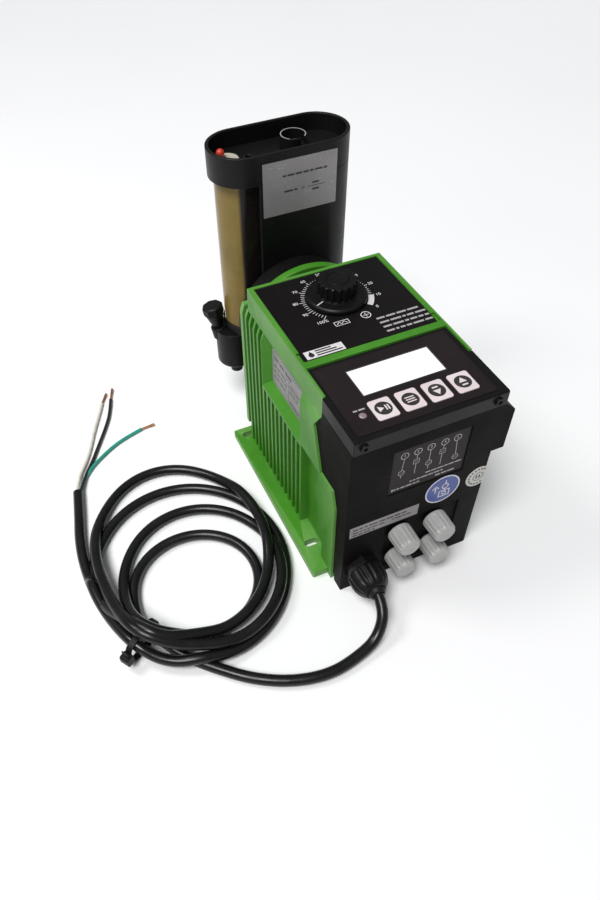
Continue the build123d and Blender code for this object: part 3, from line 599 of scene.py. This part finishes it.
def dial_print(finishes):
    """The scale from 0 to 100 %, its first step a solid block, with two symbols and a note of bars."""
    place = on_top(KNOB_X, KNOB_Y, top_of("dial_panel"))
    ink = Shape()
    for tick in range(TICKS_PER_STEP, 10 * TICKS_PER_STEP + 1):
        angle = math.radians(SCALE_START + tick * SCALE_STEP / TICKS_PER_STEP)
        outer = SHORT_TICK_R if tick % TICKS_PER_STEP else LONG_TICK_R
        ink.stroke(polar(TICK_START_R, angle), polar(outer, angle), SCALE_LINE, place)
    ink.arc(0, 0, TICK_START_R, 25.2, SCALE_START, SCALE_START + SCALE_STEP, place)
    for mark in range(11):
        angle = math.radians(SCALE_START + mark * SCALE_STEP)
        ink.figures("100%" if mark == 10 else str(mark * 10),
                    28.3 * math.cos(angle), 28.4 * math.sin(angle), 3.8, place)
    panel = on_top(0, 0, top_of("dial_panel"))
    # stroke symbol: a box with a zigzag
    ink.frame(-14.2, 0.4, 10.4, 4.4, SYMBOL_LINE, panel)
    points = [(-12.8, 1.6), (-10.6, 3.8), (-9.4, 1.6), (-7.2, 3.8), (-5.4, 1.6)]
    for a, b in zip(points, points[1:]):
        ink.stroke(a, b, SYMBOL_LINE, panel)
    # running symbol: a circle with a cross
    ink.ring(8.8, 3.4, 2.9, 3.5, panel)
    ink.stroke((6.6, 3.4), (11.0, 3.4), SYMBOL_LINE, panel)
    ink.stroke((8.8, 1.2), (8.8, 5.6), SYMBOL_LINE, panel)
    ink.ink("dial_scale_print", finishes["print_white"], "pump", "overlay_black")
    note = Shape().words(13.0, -4.2, 33.5, 1.6, 4, panel, 4.6, 5)
    note.ink("dial_note_print", finishes["print_grey"], "pump", "overlay_black")


def maker_plate(finishes):
    """Plain white plate with a drop and three bars."""
    thick = 0.1
    plate = Shape().bar(-44.6, -21.4, 26.4, 7.4, on_top(0, 0, top_of("dial_panel")), thick)
    plate.ink("blank_plate", finishes["print_white"], "pump", "overlay_black")
    raised = on_top(0, 0, top_of("dial_panel") + thick)
    mark = Shape().disc(-40.6, -18.3, 1.9, raised)
    mark.prism([(-42.2, -17.4), (-39.0, -17.4), (-40.6, -14.7)], raised)
    for row in range(3):
        mark.bar(-37.2, -20.2 + 2.1 * row, 17.4 - 3.2 * row, 1.1, raised)
    mark.ink("blank_plate_print", finishes["print_black"], "pump", "overlay_black")


def knob_details(finishes):
    """The pointer on the skirt and the low dome on the grip."""
    skirt = on_top(KNOB_X, KNOB_Y, SKIRT_TOP)
    angle = math.radians(POINTER_ANGLE)
    line = Shape().stroke(polar(POINTER_FROM_R, angle), polar(POINTER_TO_R, angle), 0.7, skirt, 0.08)
    line.ink("knob_pointer", finishes["print_white"], "stroke_dial", "gloss_black")
    dome = [(7.2, -0.9, 0), (7.2, -0.2, 0), (6.9, 0.1, 0), (5.0, 0.25, 0), (2.0, 0.32, 0), (0.3, 0.34, 0)]
    cap = Shape().turned(dome, on_top(KNOB_X, KNOB_Y, top_of("stroke_knob")))
    cap.piece("knob_cap_disc", finishes["gloss_black"], "stroke_dial", "gloss_black")


# ---------------------------------------------------------------- lid
KEY_X, KEY_PITCH, KEY_Y = -23.4, 17.75, -77.4
LAMP_X = -36.7
LID_TOP = 153.0


def key_symbols(finishes):
    """A black disc on each key, with a generic sign: run and pause, list, down, up."""
    for index, key in enumerate(("key_start", "key_menu", "key_down", "key_up")):
        place = on_top(KEY_X + index * KEY_PITCH, KEY_Y, top_of(key))
        Shape().disc(0, 0, 5.3, place).ink(key + "_disc", finishes["print_black"], key, "key_face")
        raised = on_top(KEY_X + index * KEY_PITCH, KEY_Y, top_of(key) + PRINT_THICK)
        sign = Shape()
        if key == "key_start":
            sign.prism([(-3.2, -2.2), (0.4, 0), (-3.2, 2.2)], raised)
            sign.bar(1.2, -2.0, 0.9, 4.0, raised)
            sign.bar(2.8, -2.0, 0.9, 4.0, raised)
        elif key == "key_menu":
            for row in range(3):
                sign.bar(-3.0, -2.2 + 1.8 * row, 6.0, 0.8, raised)
        else:
            way = 1 if key == "key_up" else -1
            sign.prism([(-2.6, -0.4 * way), (2.6, -0.4 * way), (0, 3.7 * way)][::way], raised)
            sign.bar(-1.9, -2.6 * way - 0.6, 3.8, 1.2, raised)
        sign.ink(key + "_sign", finishes["key_face"], key, "key_face")


def lid_details(finishes):
    """The film's border, the lamp with its mark, and the frame round the display."""
    place = on_top(0, 0, top_of("keypad_overlay"))
    line = Shape().frame(-46.0, -90.5, 90.0, 58.0, 0.25, place, 0.04)
    line.ink("overlay_border", finishes["overlay_black"], "pump", "overlay_black")
    mark = Shape().words(-40.6, -73.4, 8.0, 1.2, 1, place, 3.0, 3)
    mark.ink("lamp_mark", finishes["print_grey"], "pump", "overlay_black")
    dome = [(2.45, -1.0, 0), (2.45, 0.15, 0), (2.2, 0.45, 0), (1.6, 0.75, 0), (0.8, 0.95, 0), (0.1, 1.0, 0)]
    lens = Shape().turned(dome, on_top(LAMP_X, KEY_Y, LID_TOP), 32)
    lens.piece("mode_lamp_dome", finishes["lamp_lens"], "pump", "lamp_lens", ["mode_led"])
    bezel = Shape().frame(-29.3, -64.2, 57.4, 24.2, 0.8, place, 0.05)
    bezel.ink("display_bezel", finishes["print_black"], "pump", "overlay_black")


# ---------------------------------------------------------------- labels
def side_plate_print(finishes):
    """A table of bars: a wide column on the left, a narrow one on the right."""
    low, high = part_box("side_nameplate")
    middle = (low + high) / 2 / MM
    place = facing((low.x / MM, middle.y, middle.z), (0, -1, 0), (0, 0, 1))
    ink = Shape().frame(-22.6, -13.4, 45.2, 26.8, 0.35, place)
    for row in range(4):
        ink.bar(-22.2, -9.0 + 5.0 * row, 44.4, 0.25, place)
    ink.bar(2.0, -13.0, 0.25, 19.0, place)
    wide = [(-20.8, 8.4, 30, 2.2), (-20.8, 2.4, 19, 1.3), (-20.8, -2.4, 20, 1.3), (-20.8, -7.4, 18, 1.3)]
    narrow = [(4.0, 2.6, 15, 1.3), (4.0, -2.4, 16, 1.3), (4.0, -12.0, 15, 1.3)]
    ink.print_lines(wide + narrow, place, 4, 11)
    ink.ink("nameplate_print", finishes["print_black"], "pump", "label_silver")


def column_label_print(finishes):
    """A heading, and a fraction with its equals sign, all in bars."""
    place = on_front(5.4, front_of("column_label"), 198.9)
    lines = [(-13, 7.5, 33, 1.3), (-12, -3.6, 11, 1.3), (9.0, -1.4, 5, 1.3), (9.0, -6.2, 6, 1.3)]
    ink = Shape().print_lines(lines, place, 4, 21)
    ink.bar(1.0, -3.6, 2.4, 0.4, place)
    ink.bar(1.0, -2.6, 2.4, 0.4, place)
    ink.bar(5.5, -3.2, 13, 0.4, place)
    ink.ink("column_label_print", finishes["print_black"], "pump", "label_silver")


def terminal_print(finishes):
    """Five numbered terminals, each wired down to a round or square symbol."""
    place = on_front(0, front_of("terminal_label"), 0)
    ink = Shape()
    number_z, wire_top, wire_foot = 124.5, 121.6, 104.5
    tops = (-14.6, -5.5, 3.6, 13.2, 22.1)
    symbols = ((-15.3, 109.3), (-5.6, 115.8), (3.8, 110.1), (12.7, 116.5), (23.2, 106.9))
    for number, (x, (sx, sz)) in enumerate(zip(tops, symbols), start=1):
        ink.ring(x, number_z, 2.3, 2.8, place)
        ink.figures(str(number), x, number_z, 3.2, place)
        ink.stroke((x, wire_top), (sx, sz + 2.5), 0.4, place)
        ink.stroke((sx, sz - 2.4), (sx, wire_foot), 0.4, place)
        if number % 2:
            ink.ring(sx, sz, 1.9, 2.3, place)
        else:
            ink.frame(sx - 2.1, sz - 2.1, 4.2, 4.2, 0.35, place)
        ink.stroke((sx - 1.2, sz), (sx + 1.2, sz), 0.3, place)
    lines = [(-19, 94.0, 20, 1.1), (-8, 97.3, 24, 1.0), (3, 100.6, 26, 1.0), (11, 94.0, 16, 1.1)]
    ink.print_lines(lines, place, 3, 31)
    ink.bar(-20.6, 93.6, 1.2, 2.0, place)
    ink.ink("terminal_print", finishes["print_grey"], "pump", "overlay_black")


def service_sticker_print(finishes):
    """Ring, arrow and a plain figure of a box with rings."""
    place = on_front(19.0, front_of("service_sticker"), 77.6)
    ink = Shape().ring(0, 0, 11.9, 12.9, place)
    ink.stroke((-5.6, -1.6), (-5.6, 4.6), 0.8, place)
    ink.stroke((-8.0, 2.2), (-5.4, 5.2), 0.8, place)
    ink.stroke((-3.2, 2.2), (-5.8, 5.2), 0.8, place)
    ink.frame(-2.6, -7.6, 8.4, 6.4, 0.7, place)
    ink.ring(1.6, -4.4, 1.2, 1.8, place)
    ink.ring(1.6, 2.6, 1.9, 2.6, place)
    ink.stroke((1.6, -1.2), (1.6, 0.2), 0.8, place)
    ink.stroke((1.6, 5.0), (1.6, 8.0), 0.8, place)
    ink.ink("service_sticker_print", finishes["print_white"], "pump", "sticker_blue")


def test_sticker_print(finishes):
    """Dashes round a ring with two bars in it."""
    place = on_front(46.4, front_of("test_sticker"), 77.0)
    ring = Shape()
    for start in range(50, 300, 20):
        ring.arc(0, 0, 6.4, 7.8, start, start + 12, place)
    ring.arc(0, 0, 3.6, 4.1, 0, 360, place)
    ring.bar(-1.9, -1.6, 1.2, 3.2, place)
    ring.bar(0.4, -1.6, 1.2, 3.2, place)
    ring.ink("test_sticker_print", finishes["print_black"], "pump", "sticker_white")


def strip_label_print(finishes):
    place = on_front(-22.8, front_of("strip_label"), 65.6)
    lines = [(-23, 1.6, 40, 1.3), (-23, -1.4, 24, 1.1), (6, -1.4, 15, 1.1), (-23, -4.0, 18, 1.1)]
    strip = Shape().print_lines(lines, place, 3, 41)
    strip.ink("strip_label_print", finishes["print_black"], "pump", "label_silver")


# ---------------------------------------------------------------- caps, gland, tray
def from_back(node):
    """Placement at the back end of a node that points to the front, and its length."""
    low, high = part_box(node)
    middle = (low + high) / 2 / MM
    return on_front(middle.x, high.y / MM, middle.z), (high.y - low.y) / MM


def socket_caps(finishes):
    """Hollow caps with fine ribs and a rounded end."""
    rib = 0.28
    for number in range(1, 5):
        node = f"socket_cap_{number}"
        place, length = from_back(node)
        outside = [(8.35, 0, 0), (8.5, 0.4, 0), (8.5, 2.2, 0), (8.3, 2.7, rib), (8.2, 5, rib),
                   (8.0, length - 3.4, rib), (7.9, length - 2.2, rib), (7.5, length - 1.2, rib * 0.7),
                   (6.9, length - 0.5, 0.05), (6.2, length - 0.1, 0), (4.5, length, 0), (0.4, length, 0)]
        inside = [(0.4, length - 2.4, 0), (6.2, length - 2.4, 0), (6.35, 0, 0)]
        cap = Shape().turned(outside + inside, place, 120, 15, closed=True)
        cap.piece(f"ribbed_cap_{number}", finishes["cap_white"], f"cap_{number}", "cap_white", [node])


def gland(finishes):
    """Domed nut with broad flutes, and the seal's lip round the cable."""
    place, length = from_back("gland_nut")
    outside = [(12.2, 0, 0), (12.7, 0.6, 0.1), (12.55, 1.8, 0.35), (12.4, 6.5, 0.45), (12.0, 9.5, 0.45),
               (11.2, length - 4.6, 0.3), (9.9, length - 2.2, 0.1), (8.3, length - 0.6, 0),
               (7.2, length, 0)]
    inside = [(6.6, length - 0.4, 0), (6.6, 0, 0)]
    nut = Shape().turned(outside + inside, place, 144, 18, closed=True)
    nut.piece("fluted_nut", finishes["gloss_black"], "pump", "gloss_black", ["gland_nut"])
    relief = [(6.4, 0, 0), (6.45, length - 1.5, 0), (6.2, length + 0.6, 0), (5.6, length + 2.2, 0),
              (4.9, length + 3.2, 0), (4.1, length + 3.4, 0), (4.0, length + 3.0, 0), (4.0, 0, 0)]
    seal = Shape().turned(relief, place, 48, closed=True)
    return seal.piece("gland_lip", finishes["seal_rubber"], "pump", "seal_rubber", ["gland_seal"])


TRAY_MIDDLE = (12.0, 124.0)
TRAY_FLOOR = 212.0


def tray_details(finishes):
    """A painted highlight in a pale arc round the plug's edge, a small dot and a short drain tube beside
    it.
    """
    plug = on_top(*TRAY_MIDDLE, top_of("tray_plug"))
    # pale grey arc: a painted highlight along the plug's top edge
    rim = Shape().arc(0, 0, 8.3, 8.9, -50, 230, plug, 0.05)
    rim.ink("plug_rim_painted_highlight", finishes["print_grey"], "pump", "gloss_black")
    dot = Shape().disc(-12.5, -9.6, 1.2, on_top(*TRAY_MIDDLE, TRAY_FLOOR), 0.8)
    dot.ink("tray_dot", finishes["ivory_plastic"], "pump", "ivory_plastic")
    wall = [(3.3, -0.3, 0), (3.3, 5.6, 0), (3.0, 5.9, 0), (2.2, 5.9, 0), (2.1, 5.4, 0), (2.1, -0.3, 0)]
    tube = Shape().turned(wall, on_top(-25.5, 113.5, TRAY_FLOOR), 40, closed=True)
    tube.piece("tray_drain", finishes["gloss_black"], "pump", "gloss_black")


# ---------------------------------------------------------------- cable, in metres
CABLE_R = 0.0039
CORE_R = 0.00135
FLOOR_Z = 0.0041                    # height of the cable's middle where it lies on the floor
LEAD_ROUTE = [
    (-0.0370, -0.1175, 0.0230), (-0.0375, -0.1300, 0.0200), (-0.0475, -0.1405, 0.0075),
    (-0.0630, -0.1455, 0.0044), (-0.0860, -0.1495, 0.0041), (-0.1110, -0.1440, 0.0041),
    (-0.1340, -0.1315, 0.0041), (-0.1525, -0.1150, 0.0041),
]
INTO_COIL = [(-0.1665, -0.1010, 0.0041), (-0.1760, -0.0885, 0.0041)]
OUT_OF_COIL = [(-0.2040, -0.0640, 0.0041), (-0.2095, -0.0410, 0.0041)]
TAIL_ROUTE = [
    (-0.2114, -0.0180, 0.0041), (-0.2118, 0.0020, 0.0041), (-0.2096, 0.0230, 0.0041),
    (-0.2046, 0.0450, 0.0041), (-0.2000, 0.0680, 0.0041),
]
# centre x, centre y, half width and half depth of the four turns, from the inside of the cable outwards
TURNS = ((-0.1428, -0.0495, 0.0448, 0.0425), (-0.1360, -0.0445, 0.0560, 0.0605),
         (-0.1422, -0.0158, 0.0613, 0.0792), (-0.1425, -0.0348, 0.0690, 0.0752))
TIE_ANGLE = math.radians(215)
TIE_AT = Vector((-0.1820, -0.0740))
TIE_ACROSS = Vector((-0.83, -0.55)).normalized()
TIE_SLOTS = (0.0015, 0.0054, 0.0134, 0.0094, 0.0173)    # where each passage lies across the bundle
TIE_MIDDLE = 0.0098                 # middle of the bundle, from its inner side
GATHERED = 0.13                     # share of a turn, at each end, that bends in to the tie
LAID_ORDER = (0, 1, 4, 5, 2, 3)     # of the way in, the four turns and the way out
PER_TURN = 160                      # fine steps of a turn
FINE_STEP = 0.0025                  # length of a fine step elsewhere
KEEP_EVERY = 6                      # fine steps for each control point of the spline
STEEPEST = 0.45                     # rise over run where one strand climbs over another
HUMP_REACH = 16                     # fine steps over which a rise is spread
SMOOTH_REACH = 4                    # fine steps on each side in the running mean


def on_ellipse(turn, angle):
    x, y, wide, deep = turn
    return Vector((x + wide * math.cos(angle), y + deep * math.sin(angle)))


def ease(t):
    t = max(0.0, min(1.0, t))
    return t * t * (3 - 2 * t)


def coil_plan():
    """Plan points of the turns, clockwise from the tie, drawn together where the tie holds them."""
    strands = []
    for index, turn in enumerate(TURNS):
        points = []
        for step in range(PER_TURN):
            part = step / PER_TURN
            point = on_ellipse(turn, TIE_ANGLE - 2 * math.pi * part)
            held = on_ellipse(turn, TIE_ANGLE)
            first = TIE_AT + TIE_ACROSS * TIE_SLOTS[index] - held
            last = TIE_AT + TIE_ACROSS * TIE_SLOTS[index + 1] - held
            point += first * ease(1 - part / GATHERED) + last * ease(1 - (1 - part) / GATHERED)
            points.append(point)
        strands.append(points)
    return strands


def fine_line(points):
    """Plan points about a fine step apart along given ones."""
    made = []
    for a, b in zip(points, points[1:]):
        steps = max(1, round((b - a).length / FINE_STEP))
        made += [a.lerp(b, i / steps) for i in range(steps)]
    return made


def laid_heights(strands, order):
    """Height of each fine point when the strands are laid on the floor and on each other in that order."""
    wide = 2 * CABLE_R + 0.0001
    heights = [[FLOOR_Z] * len(points) for points in strands]
    down = []
    for which in order:
        for i, point in enumerate(strands[which]):
            for other, height in down:
                apart = (point - other).length
                if apart < wide:
                    over = height + math.sqrt(wide * wide - apart * apart)
                    heights[which][i] = max(heights[which][i], over)
        down += [(p, h) for p, h in zip(strands[which], heights[which])]
    return heights


def eased_heights(points, heights):
    """Spreads each rise into a long low hump."""
    spread = list(heights)
    for i in range(len(points)):
        for j in range(max(0, i - HUMP_REACH), min(len(points), i + HUMP_REACH + 1)):
            spread[i] = max(spread[i], heights[j] - STEEPEST * (points[i] - points[j]).length)
    smooth = []
    for i in range(len(points)):
        window = spread[max(0, i - SMOOTH_REACH):i + SMOOTH_REACH + 1]
        smooth.append(max(FLOOR_Z, sum(window) / len(window)))
    return smooth


def cable_points():
    """Control points of the whole cable: the lead, four turns and the tail."""
    strands = coil_plan()
    into = [Vector(p[:2]) for p in [LEAD_ROUTE[-1], *INTO_COIL]] + [strands[0][0]]
    start = TIE_AT + TIE_ACROSS * TIE_SLOTS[-1]
    out = [start] + [Vector(p[:2]) for p in [*OUT_OF_COIL, TAIL_ROUTE[0]]]
    lines = [fine_line(into), *strands, fine_line(out)]
    heights = laid_heights(lines, LAID_ORDER)
    flat = [p for line in lines for p in line]
    rise = eased_heights(flat, [h for line in heights for h in line])
    kept = [(p.x, p.y, h) for p, h in list(zip(flat, rise))[KEEP_EVERY::KEEP_EVERY]]
    return LEAD_ROUTE + kept + TAIL_ROUTE


def spline(name, points, radius, material):
    """Round cord along one open NURBS spline."""
    curve = bpy.data.curves.new(name, "CURVE")
    curve.dimensions = "3D"
    curve.bevel_depth = radius
    curve.bevel_resolution = 5
    curve.use_fill_caps = True
    line = curve.splines.new("NURBS")
    line.points.add(len(points) - 1)
    for control, point in zip(line.points, points):
        control.co = (*point, 1)
    line.order_u = 3
    line.use_endpoint_u = True
    line.resolution_u = 8
    curve.materials.append(material)
    made = bpy.data.objects.new(name, curve)
    bpy.context.scene.collection.objects.link(made)
    return made


def length_of(curve_object):
    """Length of a spline's own line, and the points along it."""
    bare = curve_object.data.copy()
    bare.bevel_depth = 0
    holder = bpy.data.objects.new("bare", bare)
    bpy.context.scene.collection.objects.link(holder)
    mesh = bpy.data.meshes.new_from_object(holder.evaluated_get(bpy.context.evaluated_depsgraph_get()))
    points = [v.co.copy() for v in mesh.vertices]
    bpy.data.objects.remove(holder)
    bpy.data.meshes.remove(mesh)
    total = sum((b - a).length for a, b in zip(points, points[1:]))
    return total, points


CORE_ROUTES = {
    "white": [(-0.2006, 0.0680, 0.0054), (-0.1960, 0.0840, 0.0030), (-0.1875, 0.0970, 0.0016),
              (-0.1796, 0.1120, 0.0015), (-0.1725, 0.1290, 0.0015), (-0.1645, 0.1450, 0.0015),
              (-0.1570, 0.1610, 0.0015)],
    "black": [(-0.1978, 0.0680, 0.0042), (-0.1910, 0.0835, 0.0018), (-0.1815, 0.0975, 0.0015),
              (-0.1720, 0.1135, 0.0015), (-0.1620, 0.1300, 0.0015), (-0.1535, 0.1465, 0.0015),
              (-0.1485, 0.1630, 0.0015)],
    "green": [(-0.1994, 0.0680, 0.0024), (-0.1930, 0.0800, 0.0015), (-0.1840, 0.0910, 0.0015),
              (-0.1730, 0.0995, 0.0015), (-0.1605, 0.1075, 0.0015), (-0.1470, 0.1130, 0.0015),
              (-0.1340, 0.1165, 0.0015)],
}
CORE_ENDS = {"white": (-0.1500, 0.1725), "black": (-0.1435, 0.1765), "green": (-0.1220, 0.1175)}
STRANDS = 6
STRAND_R = 0.3                      # millimetres
STRAND_STEPS = 12
STRAND_TURNS = 1.6


def bare_strands(points, end, name, finishes):
    """Twisted copper that shows past the end of a core's insulation."""
    start = points[-1] / MM
    finish = Vector((end[0] / MM, end[1] / MM, start.z))
    along = (finish - start).normalized()
    side = along.cross(Vector((0, 0, 1))).normalized()
    strands = Shape()
    for index in range(STRANDS):
        line = []
        for step in range(STRAND_STEPS + 1):
            part = step / STRAND_STEPS
            angle = 2 * math.pi * (index / STRANDS + STRAND_TURNS * part)
            out = 0.55 + 0.35 * part * part
            offset = side * math.cos(angle) + Vector((0, 0, 1)) * math.sin(angle)
            line.append(start - along * 1.5 + (finish - start + along * 1.0) * part + offset * out)
        strands.tube(line, STRAND_R, 6)
    return strands.piece(name, finishes["copper"], "pump", "core_colours")


def cable(finishes):
    """The mains cable with its strap, and three cores with bare ends."""
    flex = spline("mains_cable", cable_points(), CABLE_R, finishes["cable_black"])
    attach(flex, "pump")
    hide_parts("cable_lead", "cable_coil", "cable_tail")
    length = length_of(flex)[0]
    strap = cable_tie(finishes)
    for colour, route in CORE_ROUTES.items():
        material = finishes["core_colours" if colour == "white" else "core_" + colour]
        core = spline(f"core_{colour}", route, CORE_R, material)
        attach(core, "pump")
        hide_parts("cable_cores")
        core_length, points = length_of(core)
        tip = bare_strands(points, CORE_ENDS[colour], f"core_{colour}_strands", finishes)
    print("cable length", round(length, 3))


def cable_tie(finishes):
    """Strap round the bundle, its head outside and its cut end inside."""
    middle = (TIE_AT + TIE_ACROSS * TIE_MIDDLE) / MM
    across = Vector((TIE_ACROSS.x, TIE_ACROSS.y, 0))
    along = Vector((-TIE_ACROSS.y, TIE_ACROSS.x, 0))
    place = Matrix((across, Vector((0, 0, 1)), along)).transposed().to_4x4()
    place = Matrix.Translation((middle.x, middle.y, 10.4)) @ place
    outer, inner, half_wide = (14.4, 10.2), (13.3, 9.1), 2.3
    steps = 48
    squareness = 0.55
    rows = []
    edges = ((outer, -half_wide), (outer, half_wide), (inner, half_wide), (inner, -half_wide))
    for (half_x, half_z), offset in edges:
        row = []
        for i in range(steps):
            c, s = polar(1, 2 * math.pi * i / steps)
            x, z = math.copysign(abs(c) ** squareness, c), math.copysign(abs(s) ** squareness, s)
            row.append((half_x * x, half_z * z, offset))
        rows.append(row)
    strap = Shape().skin(rows, place, caps=False)
    head = [(13.4, -4.0), (18.6, -4.0), (19.4, -2.4), (19.4, 2.6), (18.2, 3.8), (13.4, 3.8)]
    strap.prism(head, place, 3.6, -3.6)
    strap.prism([(15.2, 3.6), (16.6, 3.6), (17.4, 9.0), (16.2, 9.2)], place, 2.2, -2.2)
    return strap.piece("cable_strap", finishes["gloss_black"], "pump", "gloss_black",
                       ["cable_tie"], rounds=0.3)


# ---------------------------------------------------------------- build
make_camera()
make_studio()
FINISHES = make_finishes()
dress_nodes(FINISHES)
gland_lip = gland(FINISHES)
cable(FINISHES)
soften_edges()
dial_print(FINISHES)
maker_plate(FINISHES)
knob_details(FINISHES)
key_symbols(FINISHES)
lid_details(FINISHES)
side_plate_print(FINISHES)
column_label_print(FINISHES)
terminal_print(FINISHES)
service_sticker_print(FINISHES)
test_sticker_print(FINISHES)
strip_label_print(FINISHES)
socket_caps(FINISHES)
tray_details(FINISHES)
